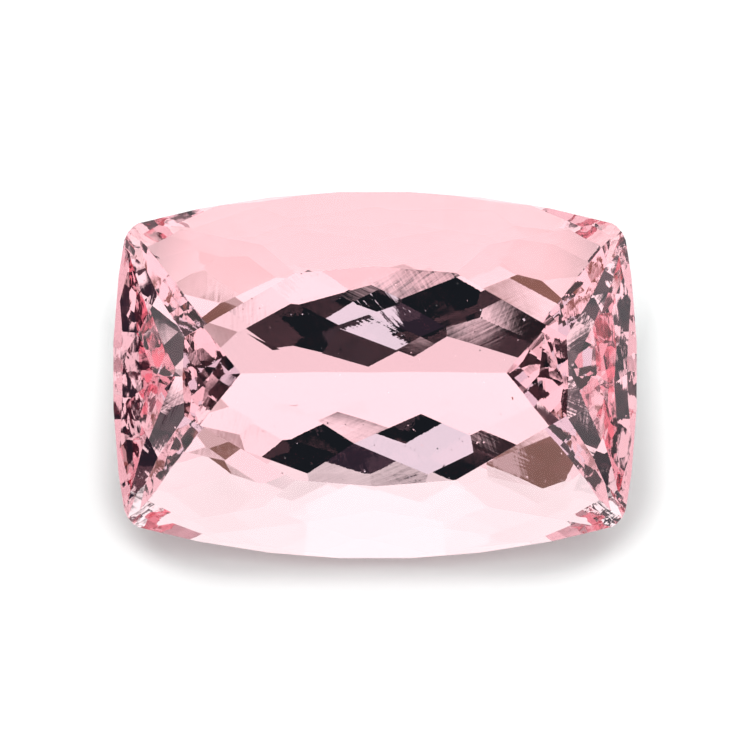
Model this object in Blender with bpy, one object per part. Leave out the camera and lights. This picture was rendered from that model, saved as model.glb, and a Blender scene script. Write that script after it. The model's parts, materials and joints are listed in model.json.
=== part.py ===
"""Cut morganite: an elongated cushion with a lattice-cut pavilion and a keel.

The stone is made the way it is cut. A block is ground down one flat facet at a
time: first the girdle outline, then the pavilion rows, then the crown and table.
Lengths are in millimetres while the stone is cut, and in metres once it is done.
In its own axes the table faces +Z, and the long axis and the keel lie along X.
The finished stone lies on one of its long-side pavilion facets, so its table
leans towards -Y.
"""
import random
from math import cos, radians, sin, tan

import bmesh
import bpy
from mathutils import Matrix, Vector

MM = 0.001

# Outline seen through the table
LENGTH = 18.0
WIDTH = 12.6
LONG_SIDE_RADIUS = 31.0
SHORT_SIDE_RADIUS = 29.0
CORNER_RADIUS = 1.0
CORNER_CENTRE = (7.66, 4.35)
CORNER_TURNS = (30, 48, 66)

# Heights from the middle of the girdle
HALF_GIRDLE = 0.15
KEEL_DEPTH = 7.0
CROWN_HEIGHT = 1.9

# Crown slopes in degrees: the lower row starts at the girdle, the upper one
# meets the table, and the share is how much of the height the lower row takes
CROWN_LONG = {"lower": 40.0, "upper": 30.0, "share": 0.65}
CROWN_SHORT = {"lower": 40.0, "upper": 36.5, "share": 0.5}
CROWN_CORNER = 35.0

# Four wide, gentle facets that slant the table's corners: each passes through
# the top end of the table's short side
SLANT_TURN = 30.0
SLANT_SLOPE = 23.4
SHORT_SIDE_TOP = (6.57, 1.35)

# Pavilion sides. Each is a lattice of diamonds laid round an upright axis far
# behind the stone's centre, so that its rows follow the bowed outline.
# facing: the way the side looks, from +Y towards +X
# axis: distance of that upright axis from the stone's centre
# step: turn from one facet to the next in a row
# shift: turn of the whole pattern along the side
# start: where the first row begins, from the stone's centre
# meet: where the second row begins
# slopes: one for each row, from the keel to the girdle
# counts: facets in each row
# break_slope: the steep row just under the girdle
# stray: how far a facet held by hand strays from its slope and from its turn
# seed: which of the possible strays this stone has
FAR_SIDE = {
    "facing": 0, "axis": 50.0, "step": 4.2, "shift": -0.6, "start": 0.0, "meet": 0.5,
    "slopes": (41.5, 43.3, 45.4, 47.6, 49.8, 52.0), "counts": (3, 4, 5, 4, 5, 4),
    "break_slope": 60.0, "stray": (0.5, 1.0), "seed": 884,
}
NEAR_SIDE = {
    "facing": 180, "axis": 50.0, "step": 4.8, "shift": -1.8, "start": 0.0, "meet": 0.3,
    "slopes": (41.0, 43.2, 45.6, 47.8, 50.0, 52.5), "counts": (3, 4, 5, 4, 5, 4),
    "break_slope": 60.0, "stray": (0.5, 1.0), "seed": 3488,
}
LEFT_END = {
    "facing": 270, "axis": 22.0, "step": 3.7, "shift": -0.5, "start": 4.5, "meet": 5.3,
    "slopes": (50.5, 52.0, 53.5, 55.0, 56.5, 58.0), "counts": (3, 4, 5, 6, 7, 6),
    "break_slope": 64.0, "stray": (1.0, 2.5), "seed": 3616,
}
RIGHT_END = {
    "facing": 90, "axis": 22.0, "step": 3.5, "shift": 0.1, "start": 4.5, "meet": 5.4,
    "slopes": (50.5, 52.0, 53.5, 55.0, 56.5, 58.0), "counts": (3, 4, 5, 6, 7, 6),
    "break_slope": 64.0, "stray": (1.0, 2.5), "seed": 3294,
}

# The near-side facet that the stone lies on: its row and its place in the row
REST_ROW = 3
REST_PLACE = 2

# A corner this close to a new facet is taken to lie in it
MEET_TOLERANCE = 0.004


def direction(turn):
    """Level unit vector, turned from +Y towards +X by an angle in degrees."""
    return Vector((sin(radians(turn)), cos(radians(turn)), 0.0))


def facet_normal(turn, slope, up):
    """Outward normal of a facet with its slope measured from the level."""
    level = direction(turn) * sin(radians(slope))
    return level + Vector((0.0, 0.0, up * cos(radians(slope))))


def slope_rise(slope):
    """Rise of a facet for one step outwards."""
    return tan(radians(slope))


def bowed_reach(half_width, radius, turn):
    """Reach of a bowed side's tangent that is turned away from its middle."""
    return half_width * cos(radians(turn)) + radius * (1.0 - cos(radians(turn)))


def spread(half_angle, count):
    """Angles spaced evenly from one end of a side to the other."""
    gap = 2.0 * half_angle / (count - 1)
    return [gap * i - half_angle for i in range(count)]


def grind(stone, normal, point):
    """Grind one flat facet through a point, and close the stone over the cut."""
    cut = bmesh.ops.bisect_plane(
        stone,
        geom=stone.verts[:] + stone.edges[:] + stone.faces[:],
        dist=MEET_TOLERANCE,
        plane_co=point,
        plane_no=normal,
        clear_outer=True,
    )
    rim = [item for item in cut["geom_cut"] if isinstance(item, bmesh.types.BMEdge)]
    bmesh.ops.holes_fill(stone, edges=rim, sides=0)


def grind_at(stone, turn, slope, reach, height, up):
    """Grind a facet that passes a level distance from the centre at a height."""
    point = direction(turn) * reach + Vector((0.0, 0.0, height))
    grind(stone, facet_normal(turn, slope, up), point)


def cut_girdle(stone):
    """Shape the upright rim: four bowed sides and four small round corners."""
    for facing in (0, 180):
        for turn in spread(13.5, 7):
            reach = bowed_reach(WIDTH / 2, LONG_SIDE_RADIUS, turn)
            grind_at(stone, facing + turn, 90, reach, 0.0, 1)
    for facing in (90, 270):
        for turn in spread(9.0, 5):
            reach = bowed_reach(LENGTH / 2, SHORT_SIDE_RADIUS, turn)
            grind_at(stone, facing + turn, 90, reach, 0.0, 1)
    for turn, reach in corner_settings():
        grind_at(stone, turn, 90, reach, 0.0, 1)


def four_corners(turn):
    """The same turn at each of the four corners, by mirroring the first."""
    return (turn, 180 - turn, -turn, turn - 180)


def reach_through(turn, corner):
    """Reach of an upright facet that passes through a point of the first corner."""
    level = direction(turn)
    return level.x * corner[0] + level.y * corner[1]


def corner_settings():
    """Turn and reach of each small facet round the four corners."""
    settings = []
    for angle in CORNER_TURNS:
        reach = reach_through(angle, CORNER_CENTRE) + CORNER_RADIUS
        settings += [(turn, reach) for turn in four_corners(angle)]
    return settings


def lattice_rows(side):
    """Distances of a side's rows from its upright axis.

    Each row is set so that its facets start where the facets two rows below
    end, which makes every facet a diamond. The first number of a row is where
    its plane passes the middle of the girdle, the second its facets' middle.
    """
    rises = [slope_rise(slope) for slope in side["slopes"]]
    half_step = cos(radians(side["step"] / 2))
    axis = side["axis"]
    reaches = [axis + side["start"] + KEEL_DEPTH / rises[0]]
    meets = [axis + side["meet"]]
    height = (meets[0] * half_step - reaches[0]) * rises[0]
    reaches.append(meets[0] - height / rises[1])
    for row in range(1, len(rises) - 1):
        drop = reaches[row] * rises[row] - reaches[row - 1] * rises[row - 1]
        meet = drop / (half_step * rises[row] - rises[row - 1])
        height = (meet - reaches[row - 1]) * rises[row - 1]
        reaches.append(meet - height / rises[row + 1])
        meets.append(meet)
    meets.append(2 * meets[-1] - meets[-2])
    return list(zip(reaches, meets))


def lattice_facets(side):
    """Turn, slope and middle point of each diamond facet on a pavilion side."""
    hand = random.Random(side["seed"])
    most_slope, most_turn = side["stray"]
    facets = []
    behind = direction(side["facing"]) * side["axis"]
    for row, (reach, middle) in enumerate(lattice_rows(side)):
        count = side["counts"][row]
        slope = side["slopes"][row]
        for place in range(count):
            turn = (place - (count - 1) / 2) * side["step"] + side["shift"] + side["facing"]
            point = direction(turn) * middle - behind
            point.z = (middle - reach) * slope_rise(slope)
            slope_stray = hand.uniform(-most_slope, most_slope)
            turn_stray = hand.uniform(-most_turn, most_turn)
            facets.append((row, place, turn + turn_stray, slope + slope_stray, point))
    return facets


def cut_pavilion(stone):
    """Cut the four lattice sides, and return the normal of the resting facet."""
    rest = None
    for side in (FAR_SIDE, NEAR_SIDE, LEFT_END, RIGHT_END):
        for row, place, turn, slope, point in lattice_facets(side):
            normal = facet_normal(turn, slope, -1)
            grind(stone, normal, point)
            if side is NEAR_SIDE and (row, place) == (REST_ROW, REST_PLACE):
                rest = normal
    return rest


def cut_break_facets(stone):
    """Cut the steep row under the girdle, which keeps the girdle even."""
    for side in (FAR_SIDE, NEAR_SIDE):
        for turn in spread(15.0, 4):
            reach = bowed_reach(WIDTH / 2, LONG_SIDE_RADIUS, turn)
            grind_at(stone, side["facing"] + turn, side["break_slope"], reach, -HALF_GIRDLE, -1)
    for side in (LEFT_END, RIGHT_END):
        for turn in spread(10.0, 3):
            reach = bowed_reach(LENGTH / 2, SHORT_SIDE_RADIUS, turn)
            grind_at(stone, side["facing"] + turn, side["break_slope"], reach, -HALF_GIRDLE, -1)


def cut_crown_side(stone, facing, half_width, radius, half_angle, slopes):
    """Cut one crown side: three lower facets and two upper ones between them."""
    height = CROWN_HEIGHT * slopes["share"]
    run = height / slope_rise(slopes["lower"])
    for turn in spread(half_angle * 0.6, 3):
        reach = bowed_reach(half_width, radius, turn)
        grind_at(stone, facing + turn, slopes["lower"], reach, HALF_GIRDLE, 1)
    for turn in spread(half_angle * 0.3, 2):
        reach = bowed_reach(half_width - run, radius, turn)
        grind_at(stone, facing + turn, slopes["upper"], reach, HALF_GIRDLE + height, 1)


def cut_crown(stone):
    """Cut the crown's sides and corners, then the flat table."""
    for facing in (0, 180):
        cut_crown_side(stone, facing, WIDTH / 2, LONG_SIDE_RADIUS, 15.0, CROWN_LONG)
    for facing in (90, 270):
        cut_crown_side(stone, facing, LENGTH / 2, SHORT_SIDE_RADIUS, 10.0, CROWN_SHORT)
    for turn, reach in corner_settings():
        grind_at(stone, turn, CROWN_CORNER, reach, HALF_GIRDLE, 1)
    table_height = HALF_GIRDLE + CROWN_HEIGHT
    slant_reach = reach_through(SLANT_TURN, SHORT_SIDE_TOP)
    for turn in four_corners(SLANT_TURN):
        grind_at(stone, turn, SLANT_SLOPE, slant_reach, table_height, 1)
    grind(stone, Vector((0.0, 0.0, 1.0)), Vector((0.0, 0.0, table_height)))


def crystal_material():
    """Clear pale pink beryl."""
    material = bpy.data.materials.new("morganite")
    material.use_nodes = True
    shader = material.node_tree.nodes["Principled BSDF"]
    shader.inputs["Base Color"].default_value = (1.0, 0.66, 0.72, 1.0)
    shader.inputs["Roughness"].default_value = 0.02
    shader.inputs["Metallic"].default_value = 0.0
    shader.inputs["IOR"].default_value = 1.58
    shader.inputs["Transmission Weight"].default_value = 1.0
    material.diffuse_color = (0.98, 0.72, 0.77, 1.0)
    return material


def lay_down(stone_object, rest):
    """Turn the stone onto its resting facet, centred over the origin."""
    stone_object.rotation_mode = "QUATERNION"
    stone_object.rotation_quaternion = rest.rotation_difference(Vector((0.0, 0.0, -1.0)))
    turned = stone_object.rotation_quaternion.to_matrix()
    corners = [turned @ vertex.co for vertex in stone_object.data.vertices]
    low = Vector([min(corner[i] for corner in corners) for i in range(3)])
    high = Vector([max(corner[i] for corner in corners) for i in range(3)])
    stone_object.location = (-(low.x + high.x) / 2, -(low.y + high.y) / 2, -low.z)


def main():
    for thing in list(bpy.data.objects):
        bpy.data.objects.remove(thing, do_unlink=True)
    collection = bpy.data.collections.new("cut_morganite")
    bpy.context.scene.collection.children.link(collection)

    stone = bmesh.new()
    bmesh.ops.create_cube(stone, size=1.0)
    bmesh.ops.scale(stone, vec=Vector((LENGTH, WIDTH, 2 * KEEL_DEPTH)) * 1.2, verts=stone.verts)
    cut_girdle(stone)
    rest = cut_pavilion(stone)
    cut_break_facets(stone)
    cut_crown(stone)
    bmesh.ops.recalc_face_normals(stone, faces=stone.faces)
    bmesh.ops.transform(stone, matrix=Matrix.Scale(MM, 4), verts=stone.verts)

    mesh = bpy.data.meshes.new("gemstone")
    stone.to_mesh(mesh)
    stone.free()
    mesh.materials.append(crystal_material())
    stone_object = bpy.data.objects.new("gemstone", mesh)
    collection.objects.link(stone_object)
    lay_down(stone_object, rest)


main()
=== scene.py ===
"""Looks of the cut morganite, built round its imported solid.

The stone lies on a pavilion facet on a white floor, and the camera looks almost
squarely at its table. The light is a white tent with dark panels and rows of small
lamps at its sides, a ring light round the lens and a dark hood round the ring. The
pavilion's facets send all of these back as their lights and darks.
"""
import json
from math import cos, radians, sin

import bpy
import numpy as np
from mathutils import Matrix, Vector

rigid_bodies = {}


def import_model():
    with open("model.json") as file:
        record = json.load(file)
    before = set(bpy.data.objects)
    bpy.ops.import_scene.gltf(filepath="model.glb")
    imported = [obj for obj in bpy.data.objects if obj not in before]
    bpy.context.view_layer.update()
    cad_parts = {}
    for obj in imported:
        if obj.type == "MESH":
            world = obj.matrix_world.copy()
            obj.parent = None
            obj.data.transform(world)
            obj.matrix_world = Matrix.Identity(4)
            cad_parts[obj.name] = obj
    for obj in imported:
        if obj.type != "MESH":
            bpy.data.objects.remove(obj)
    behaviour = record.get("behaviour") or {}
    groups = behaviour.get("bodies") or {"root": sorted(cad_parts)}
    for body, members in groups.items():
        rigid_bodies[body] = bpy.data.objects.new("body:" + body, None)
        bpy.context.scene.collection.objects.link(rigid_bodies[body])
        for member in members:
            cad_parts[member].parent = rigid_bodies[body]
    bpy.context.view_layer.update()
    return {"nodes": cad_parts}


MM = 0.001

# The stone's own axes at rest: across the table, up the view and out of the table
TABLE_LEAN = radians(47.48)
ACROSS = Vector((1.0, 0.0, 0.0))
UPWARD = Vector((0.0, cos(TABLE_LEAN), sin(TABLE_LEAN)))
OUTWARD = Vector((0.0, -sin(TABLE_LEAN), cos(TABLE_LEAN)))
GIRDLE_CENTRE = Vector((0.0, -0.407, 5.024)) * MM
TABLE_HEIGHT = 2.05 * MM

# Camera: a long lens that stands aside from the table's normal by these shares of its distance
FRAME_WIDTH = 25.81 * MM
LENS = 800.0
SENSOR = 36.0
EYE_ASIDE = (-0.01, 0.025)
NEAREST_SHARE = 0.05
FARTHEST = 20.0

# Light paths: the stone needs many, because most light turns back inside it more than once
MOST_BOUNCES = 32
MOST_GLASS_BOUNCES = 24

# Tent: its strength, its rise from below to above, and its drop at the top and the top corners
TENT = 1.28
TENT_RISE = 0.14
TENT_RISE_BAND = (-0.2, 0.2)
TENT_TOP_DROP = 0.13
TENT_TOP_BAND = (0.5, 0.75)
TENT_CORNER_DROP = 0.15
TENT_CORNER_BAND = (0.06, 0.22)

# Side panels, a narrow brown one and a wide dark one, and how far the lamps light up each
SIDE_PANELS = (
    {
        "inner": 0.34,
        "outer": 0.44,
        "half_height": 0.62,
        "edge": 0.02,
        "colour": (0.18, 0.09, 0.06),
        "lamplight": 0.4,
    },
    {
        "inner": 0.53,
        "outer": 1.10,
        "half_height": 0.90,
        "edge": 0.04,
        "colour": (0.02, 0.02, 0.03),
        "lamplight": 1.0,
    },
)
LAMP_TURNS = 48.0
LAMP_LEAN = 0.16
LAMP_BAND = (0.0, 0.3)

# Lens, ring light and hood: their radii are shares of their distance from the stone
HOOD_DISTANCE = 120.0 * MM
HOOD_CENTRE = (-0.01, -0.08)
PINHOLE = 0.0005
LENS_RADIUS = 0.05
RING_RADIUS = 0.12
HOOD_RADIUS = 0.23
HOOD_EDGE = 0.27
DISC_STEPS = 96
RING_GLOW = (1.0, 1.22, 1.28)
LENS_GLOW = (0.03, 0.03, 0.045)
HOOD_BLACK = (0.01, 0.018, 0.022)

# Floor: white with a soft glow of its own, strongest behind the stone, where a painted pool of pink
# light stands in for light through the stone, and least round its foot, where the glow paints shadow
FLOOR_HALF = 2.0
FLOOR_WHITE = (0.81, 0.83, 0.825)
FLOOR_ROUGHNESS = 0.9
FLOOR_GLOW = 0.36
# Painted shadow: the floor glows least in a round-cornered box round the stone's foot, deepening the
# shadow the stone casts, and less so towards the back
SHADE_GLOW = 0.055
SHADE_CENTRE = (0.22 * MM, 3.2 * MM)
SHADE_CORE = (8.85 * MM, 7.8 * MM)
SHADE_CORNER = 4.0 * MM
SHADE_FADE = (0.0, 1.4 * MM)
SHADE_BACK = (5.0 * MM, 11.0 * MM)
# Painted light: a pool of pink glow on the floor behind the stone, standing in for light that has
# passed through the stone
PAINTED_LIGHT_GLOW = (0.66, 0.44, 0.45)
PAINTED_LIGHT_CENTRE = (0.0, 5.0 * MM)
PAINTED_LIGHT_REACH = (8.5 * MM, 9.5 * MM)
PAINTED_LIGHT_FADE = (0.6, 1.0)

# Crystal: pink beryl, whose tint deepens with the length of the light's path
REFRACTIVE_INDEX = 1.58
TINT = (0.86, 0.15, 0.28)
TINT_DENSITY = 36.0

# Polish lines: each facet's run their own way, set by a direction that no facet faces and by its turns
LINE_GUIDE = (0.31, 0.52, 0.79)
LINE_TURNS = (37.0, 53.0, 23.0)
LINE_SPACING = 0.07 * MM
LINE_LENGTH = 1.6 * MM
LINE_DETAIL = 2.0
LINE_DEPTH = 0.008
FAINTEST_LINES = 0.5
LINE_VARIETY = 1.4

# Waves: facets that are not quite flat
WAVE_SIZE = 2.4 * MM
WAVE_DEPTH = 0.014

# Pavilion ends: coarser work, on facets that lean back by more than this, far out along the stone
END_LEAN = -0.1
END_BAND = (5.6 * MM, 7.2 * MM)
END_LINE_DEPTH = 0.02
END_WAVE_SIZE = 0.6 * MM
END_WAVE_DEPTH = 0.03

# Pits: on the table only, and their size is a share of their spacing
PIT_LOWEST = TABLE_HEIGHT * 0.99
PIT_SPACING = 0.75 * MM
PIT_RADIUS = 0.045
PIT_DEPTH = 0.6


class Tree:
    """A node tree with short calls for the nodes that the looks are made of."""

    def __init__(self, tree):
        self.tree = tree
        self.tree.nodes.clear()

    def node(self, kind, inputs=(), **settings):
        """A new node with its settings, and with its inputs set or linked."""
        node = self.tree.nodes.new(kind)
        for name, value in settings.items():
            setattr(node, name, value)
        for place, value in dict(inputs).items():
            self.put(node.inputs[place], value)
        return node

    def put(self, socket, value):
        """Links another node's output to a socket, or sets a plain value on it."""
        if isinstance(value, bpy.types.NodeSocket):
            self.tree.links.new(value, socket)
        else:
            socket.default_value = value

    def math(self, operation, *values):
        """A sum on numbers."""
        return self.node("ShaderNodeMath", enumerate(values), operation=operation).outputs[0]

    def vector(self, operation, *values):
        """A sum on vectors. A dot product and a distance come out as numbers."""
        node = self.node("ShaderNodeVectorMath", enumerate(values), operation=operation)
        return node.outputs["Value" if operation in ("DOT_PRODUCT", "DISTANCE") else "Vector"]

    def scaled(self, vector, value):
        """A vector times a number."""
        inputs = {0: vector, "Scale": value}
        return self.node("ShaderNodeVectorMath", inputs, operation="SCALE").outputs["Vector"]

    def step(self, value, low, high):
        """0 below low, 1 above high, and a smooth rise between them."""
        inputs = {"Value": value, "From Min": low, "From Max": high}
        return self.node("ShaderNodeMapRange", inputs, interpolation_type="SMOOTHSTEP").outputs[0]

    def length(self, first, second):
        """Square root of the sum of two squares."""
        squares = [self.math("MULTIPLY", part, part) for part in (first, second)]
        return self.math("SQRT", self.math("ADD", *squares))


def new_material(name):
    """A material and its empty node tree."""
    material = bpy.data.materials.new(name)
    material.use_nodes = True
    return material, Tree(material.node_tree)


def new_stage(name, points, faces, material):
    """A mesh of one material that isn't part of the stone."""
    mesh = bpy.data.meshes.new(name)
    mesh.from_pydata(points, [], faces)
    mesh.materials.append(material)
    piece = bpy.data.objects.new(name, mesh)
    bpy.context.scene.collection.objects.link(piece)
    return piece


def side_lamps(tree, sideways, reach, upward):
    """1 in each small lamp and 0 between them.

    The sine of the height times the sine of the reach to the side makes rows and
    columns of spots, and those on the +X side are larger.
    """
    rows = tree.math("SINE", tree.math("MULTIPLY", upward, LAMP_TURNS))
    columns = tree.math("SINE", tree.math("MULTIPLY", reach, LAMP_TURNS))
    lean = tree.math("MULTIPLY", sideways, LAMP_LEAN)
    return tree.step(tree.math("MULTIPLY_ADD", rows, columns, lean), *LAMP_BAND)


def panel_shade(tree, panel, reach, height, lamps):
    """The panel's colour within its edges, and white beyond them and where its lamps are.

    It runs from inner to outer on both sides, up to half_height above and below.
    """
    edge = panel["edge"]
    begun = tree.step(reach, panel["inner"] - edge, panel["inner"] + edge)
    ended = tree.step(reach, panel["outer"] - edge, panel["outer"] + edge)
    above = tree.step(height, panel["half_height"] - edge, panel["half_height"] + edge)
    across = tree.math("SUBTRACT", begun, ended)
    cover = tree.math("MULTIPLY", across, tree.math("SUBTRACT", 1.0, above))
    unlit = tree.math("MULTIPLY_ADD", lamps, -panel["lamplight"], 1.0)
    cover = tree.math("MULTIPLY", cover, unlit)
    darker = [part - 1.0 for part in panel["colour"]]
    return tree.vector("MULTIPLY_ADD", cover, darker, (1.0, 1.0, 1.0))


def tent_strength(tree, reach, upward):
    """Brighter above than below, then less at the top, and least in the top corners."""
    rise = tree.step(upward, *TENT_RISE_BAND)
    rise = tree.math("MULTIPLY_ADD", rise, 2.0 * TENT_RISE, 1.0 - TENT_RISE)
    corner = tree.step(reach, *TENT_CORNER_BAND)
    drop = tree.math("MULTIPLY_ADD", corner, TENT_CORNER_DROP, TENT_TOP_DROP)
    drop = tree.math("MULTIPLY", tree.step(upward, *TENT_TOP_BAND), drop)
    return tree.math("MULTIPLY", tree.math("SUBTRACT", rise, drop), TENT)


def tent_light():
    """A white tent with darker panels at the sides."""
    world = bpy.data.worlds.new("tent")
    bpy.context.scene.world = world
    world.use_nodes = True
    tree = Tree(world.node_tree)
    ray = tree.node("ShaderNodeTexCoord").outputs["Generated"]
    sideways = tree.vector("DOT_PRODUCT", ray, ACROSS)
    upward = tree.vector("DOT_PRODUCT", ray, UPWARD)
    reach = tree.math("ABSOLUTE", sideways)
    height = tree.math("ABSOLUTE", upward)
    lamps = side_lamps(tree, sideways, reach, upward)
    shades = [panel_shade(tree, panel, reach, height, lamps) for panel in SIDE_PANELS]
    light = tree.node("ShaderNodeBackground", {
        "Color": tree.vector("MULTIPLY", *shades),
        "Strength": tent_strength(tree, reach, upward),
    })
    tree.node("ShaderNodeOutputWorld", {"Surface": light.outputs[0]})


def disc(name, inner, outer, material):
    """Flat ring that faces the stone: x = r cos a, y = r sin a, with r from inner to outer."""
    angle = np.linspace(0.0, 2.0 * np.pi, DISC_STEPS, endpoint=False)
    rims = [np.stack([r * np.cos(angle), r * np.sin(angle)], 1) for r in (inner, outer)]
    flat = (np.concatenate(rims) + np.array(HOOD_CENTRE)) * HOOD_DISTANCE
    axes = np.array([ACROSS, UPWARD])
    points = flat @ axes + np.array(GIRDLE_CENTRE + OUTWARD * HOOD_DISTANCE)
    here = np.arange(DISC_STEPS)
    after = np.roll(here, -1)
    faces = np.stack([here, here + DISC_STEPS, after + DISC_STEPS, after], 1)
    ring = new_stage(name, points.tolist(), faces.tolist(), material)
    ring.visible_camera = False
    ring.visible_shadow = False
    ring.visible_diffuse = False
    return ring


def glow(name, colour):
    """Even light of one colour."""
    material, tree = new_material(name)
    light = tree.node("ShaderNodeEmission", {"Color": (*colour, 1.0), "Strength": 1.0})
    tree.node("ShaderNodeOutputMaterial", {"Surface": light.outputs[0]})
    return material


def hood_cloth():
    """Black cloth that thins out to nothing between the hood's radius and its edge."""
    material, tree = new_material("hood_cloth")
    spot = tree.node("ShaderNodeTexCoord").outputs["Object"]
    middle = OUTWARD + ACROSS * HOOD_CENTRE[0] + UPWARD * HOOD_CENTRE[1]
    away = tree.vector("DISTANCE", spot, GIRDLE_CENTRE + middle * HOOD_DISTANCE)
    thin = tree.step(tree.math("DIVIDE", away, HOOD_DISTANCE), HOOD_RADIUS, HOOD_EDGE)
    black = tree.node("ShaderNodeEmission", {"Color": (*HOOD_BLACK, 1.0), "Strength": 1.0})
    clear = tree.node("ShaderNodeBsdfTransparent")
    cloth = tree.node("ShaderNodeMixShader", {0: thin, 1: black.outputs[0], 2: clear.outputs[0]})
    tree.node("ShaderNodeOutputMaterial", {"Surface": cloth.outputs[0]})
    return material


def camera_front():
    """The lens, the ring light round it and the dark hood round the ring.

    The table mirrors only the hood and its core, so that the darks stay deep. Light
    that has passed through the stone meets the lens and the ring, and not the core.
    """
    lens = disc("lens_front", PINHOLE, LENS_RADIUS, glow("lens_glass", LENS_GLOW))
    ring = disc("ring_light", LENS_RADIUS, RING_RADIUS, glow("ring_glow", RING_GLOW))
    lens.visible_glossy = False
    ring.visible_glossy = False
    cloth = hood_cloth()
    disc("hood", RING_RADIUS, HOOD_EDGE, cloth)
    # The core is a dark sheet that only the table's mirror sees: a painted dark reflection in place of
    # the ring light and lens
    core = disc("hood_core", PINHOLE, RING_RADIUS, cloth)
    core.visible_transmission = False


def facet_axes(tree, flat):
    """The directions over and along a facet's polish lines, and its turn.

    Along is cos turn times one side of the facet plus sin turn times the other. The
    turn is a dot product with the facet's normal, so it is the same all over a facet.
    """
    first = tree.vector("NORMALIZE", tree.vector("CROSS_PRODUCT", flat, LINE_GUIDE))
    second = tree.vector("CROSS_PRODUCT", flat, first)
    turn = tree.vector("DOT_PRODUCT", flat, LINE_TURNS)
    cosine = tree.math("COSINE", turn)
    sine = tree.math("SINE", turn)
    along = tree.vector("ADD", tree.scaled(first, cosine), tree.scaled(second, sine))
    return tree.vector("CROSS_PRODUCT", flat, along), along, turn


def pavilion_ends(tree, spot, shape):
    """1 on the pavilion near both ends of the stone, 0 on the rest.

    A facet's normal is turned round where light meets it from inside, so its lean is
    turned back there.
    """
    outside = tree.math("MULTIPLY_ADD", shape.outputs["Backfacing"], -2.0, 1.0)
    lean = tree.vector("DOT_PRODUCT", shape.outputs["True Normal"], OUTWARD)
    below = tree.math("LESS_THAN", tree.math("MULTIPLY", lean, outside), END_LEAN)
    reach = tree.math("ABSOLUTE", tree.vector("DOT_PRODUCT", spot, ACROSS))
    return tree.math("MULTIPLY", below, tree.step(reach, *END_BAND))


def polish_lines(tree, spot, axes, ends):
    """How far the polish lines bend the normal: noise stretched out along them, times their depth.

    They are fainter on some facets, by the square of the turn's sine, and deeper at the ends.
    """
    over, along, turn = axes
    place = tree.node("ShaderNodeCombineXYZ", {
        "X": tree.math("DIVIDE", tree.vector("DOT_PRODUCT", spot, over), LINE_SPACING),
        "Y": tree.math("DIVIDE", tree.vector("DOT_PRODUCT", spot, along), LINE_LENGTH),
        "Z": turn,
    }).outputs[0]
    inputs = {"Vector": place, "Scale": 1.0, "Detail": LINE_DETAIL}
    noise = tree.node("ShaderNodeTexNoise", inputs).outputs["Fac"]
    sine = tree.math("SINE", turn)
    square = tree.math("MULTIPLY", sine, sine)
    coarse = tree.math("MULTIPLY_ADD", square, LINE_VARIETY, FAINTEST_LINES)
    depth = tree.math("MULTIPLY_ADD", ends, END_LINE_DEPTH - LINE_DEPTH, LINE_DEPTH)
    depth = tree.math("MULTIPLY", depth, coarse)
    return tree.math("MULTIPLY", tree.math("SUBTRACT", noise, 0.5), depth)


def waves(tree, spot, size, depth):
    """How far the waves bend the normal: smooth noise of one size each way, times their depth."""
    inputs = {"Vector": spot, "Scale": 1.0 / size, "Detail": 0.0}
    noise = tree.node("ShaderNodeTexNoise", inputs).outputs["Color"]
    return tree.scaled(tree.vector("SUBTRACT", noise, (0.5, 0.5, 0.5)), depth)


def pits(tree, spot):
    """How far the table's polishing pits bend the normal.

    The table is cut into cells with one round pit to a cell, of any size up to the
    largest. Each pit bends the normal by its own amount, one way or the other.
    """
    from_centre = tree.vector("SUBTRACT", spot, GIRDLE_CENTRE)
    flat = tree.node("ShaderNodeCombineXYZ", {
        "X": tree.vector("DOT_PRODUCT", from_centre, ACROSS),
        "Y": tree.vector("DOT_PRODUCT", from_centre, UPWARD),
    }).outputs[0]
    height = tree.vector("DOT_PRODUCT", from_centre, OUTWARD)
    on_table = tree.math("GREATER_THAN", height, PIT_LOWEST)
    inputs = {"Vector": flat, "Scale": 1.0 / PIT_SPACING}
    cells = tree.node("ShaderNodeTexVoronoi", inputs, voronoi_dimensions="2D")
    chance = tree.node("ShaderNodeSeparateColor", {0: cells.outputs["Color"]})
    size = tree.math("MULTIPLY", chance.outputs[0], PIT_RADIUS)
    pit = tree.math("LESS_THAN", cells.outputs["Distance"], size)
    pit = tree.math("MULTIPLY", pit, on_table)
    side = tree.math("SUBTRACT", chance.outputs[1], 0.5)
    return tree.math("MULTIPLY", pit, tree.math("MULTIPLY", side, PIT_DEPTH))


def crystal():
    """Clear pale pink beryl, its normal bent a little by polish lines, waves and pits."""
    material, tree = new_material("clear_morganite")
    spot = tree.node("ShaderNodeTexCoord").outputs["Object"]
    shape = tree.node("ShaderNodeNewGeometry")
    axes = facet_axes(tree, shape.outputs["True Normal"])
    over = axes[0]
    ends = pavilion_ends(tree, spot, shape)
    end_depth = tree.math("MULTIPLY", ends, END_WAVE_DEPTH)
    bent = shape.outputs["Normal"]
    bent = tree.vector("ADD", bent, tree.scaled(over, polish_lines(tree, spot, axes, ends)))
    bent = tree.vector("ADD", bent, waves(tree, spot, WAVE_SIZE, WAVE_DEPTH))
    bent = tree.vector("ADD", bent, waves(tree, spot, END_WAVE_SIZE, end_depth))
    bent = tree.vector("ADD", bent, tree.scaled(over, pits(tree, spot)))
    shader = tree.node("ShaderNodeBsdfPrincipled", {
        "Base Color": (1.0, 1.0, 1.0, 1.0),
        "Roughness": 0.0,
        "IOR": REFRACTIVE_INDEX,
        "Transmission Weight": 1.0,
        "Normal": tree.vector("NORMALIZE", bent),
    })
    inputs = {"Color": (*TINT, 1.0), "Density": TINT_DENSITY}
    tint = tree.node("ShaderNodeVolumeAbsorption", inputs)
    inputs = {"Surface": shader.outputs[0], "Volume": tint.outputs[0]}
    tree.node("ShaderNodeOutputMaterial", inputs)
    return material


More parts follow.
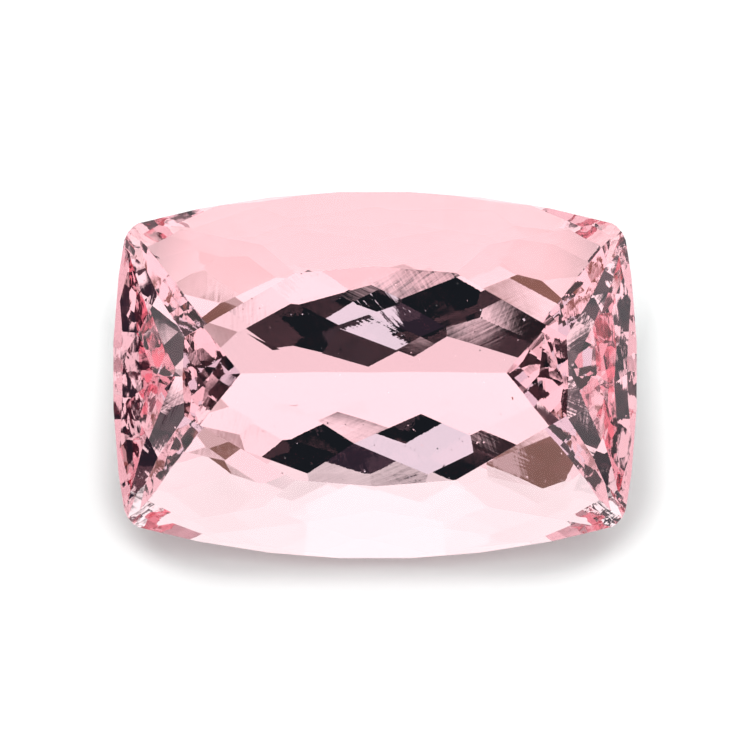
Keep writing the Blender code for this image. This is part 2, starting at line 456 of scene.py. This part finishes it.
def from_painted_light(tree, east, north):
    """Distance from the centre of the painted pool of pink light behind the stone, which is 1 at its
    reach on each side.
    """
    side = tree.math("DIVIDE", tree.math("SUBTRACT", east, PAINTED_LIGHT_CENTRE[0]), PAINTED_LIGHT_REACH[0])
    rise = tree.math("DIVIDE", tree.math("SUBTRACT", north, PAINTED_LIGHT_CENTRE[1]), PAINTED_LIGHT_REACH[1])
    return tree.length(side, rise)


def from_shade(tree, east, north):
    """Distance outwards from the round-cornered box at the stone's foot where the floor glows least,
    which paints its shadow.
    """
    side = tree.math("ABSOLUTE", tree.math("SUBTRACT", east, SHADE_CENTRE[0]))
    rise = tree.math("ABSOLUTE", tree.math("SUBTRACT", north, SHADE_CENTRE[1]))
    side = tree.math("MAXIMUM", tree.math("SUBTRACT", side, SHADE_CORE[0] - SHADE_CORNER), 0.0)
    rise = tree.math("MAXIMUM", tree.math("SUBTRACT", rise, SHADE_CORE[1] - SHADE_CORNER), 0.0)
    return tree.math("SUBTRACT", tree.length(side, rise), SHADE_CORNER)


def floor_white():
    """Matt white that glows softly.

    The glow rises from the painted shadow's to the open floor's with the distance from the
    shade, and towards the back, and a painted pool of pink light behind the stone is added.
    """
    material, tree = new_material("white_floor")
    spot = tree.node("ShaderNodeTexCoord").outputs["Object"]
    east = tree.vector("DOT_PRODUCT", spot, (1.0, 0.0, 0.0))
    north = tree.vector("DOT_PRODUCT", spot, (0.0, 1.0, 0.0))
    # Painted pool of pink light on the floor behind the stone
    painted_light = tree.step(from_painted_light(tree, east, north), *PAINTED_LIGHT_FADE)
    painted_light = tree.math("SUBTRACT", 1.0, painted_light)
    # Painted shadow round the stone's foot, fading towards the back
    unshaded = tree.step(from_shade(tree, east, north), *SHADE_FADE)
    unshaded = tree.math("MAXIMUM", unshaded, tree.step(north, *SHADE_BACK))
    light = tree.math("MULTIPLY_ADD", unshaded, FLOOR_GLOW - SHADE_GLOW, SHADE_GLOW)
    light = tree.vector("MULTIPLY_ADD", painted_light, PAINTED_LIGHT_GLOW, light)
    shader = tree.node("ShaderNodeBsdfPrincipled", {
        "Base Color": (*FLOOR_WHITE, 1.0),
        "Roughness": FLOOR_ROUGHNESS,
        "Specular IOR Level": 0.0,
        "Emission Color": light,
        "Emission Strength": 1.0,
    })
    tree.node("ShaderNodeOutputMaterial", {"Surface": shader.outputs[0]})
    return material


def floor():
    """Wide square floor that the stone lies on."""
    corners = ((-1.0, -1.0), (1.0, -1.0), (1.0, 1.0), (-1.0, 1.0))
    points = [(x * FLOOR_HALF, y * FLOOR_HALF, 0.0) for x, y in corners]
    new_stage("floor", points, [(0, 1, 2, 3)], floor_white())


def camera():
    """A long lens over the table, a little aside from the table's normal."""
    data = bpy.data.cameras.new("camera")
    data.lens = LENS
    data.sensor_width = SENSOR
    eye = bpy.data.objects.new("camera", data)
    bpy.context.scene.collection.objects.link(eye)
    distance = FRAME_WIDTH * LENS / SENSOR
    back = (OUTWARD + ACROSS * EYE_ASIDE[0] + UPWARD * EYE_ASIDE[1]).normalized()
    right = UPWARD.cross(back).normalized()
    eye.location = GIRDLE_CENTRE + back * distance
    eye.rotation_mode = "QUATERNION"
    eye.rotation_quaternion = Matrix((right, back.cross(right), back)).transposed().to_quaternion()
    data.clip_start = distance * NEAREST_SHARE
    data.clip_end = FARTHEST
    bpy.context.scene.camera = eye


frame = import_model()

scene = bpy.context.scene
for default in [o for o in scene.objects if o.name in ("Cube", "Light", "Camera")]:
    bpy.data.objects.remove(default, do_unlink=True)
scene.view_settings.view_transform = "Standard"
scene.view_settings.look = "None"
scene.cycles.max_bounces = MOST_BOUNCES
scene.cycles.glossy_bounces = MOST_GLASS_BOUNCES
scene.cycles.transmission_bounces = MOST_GLASS_BOUNCES

stone = frame["nodes"]["gemstone"]
stone.data.materials.clear()
stone.data.materials.append(crystal())

tent_light()
camera_front()
floor()
camera()
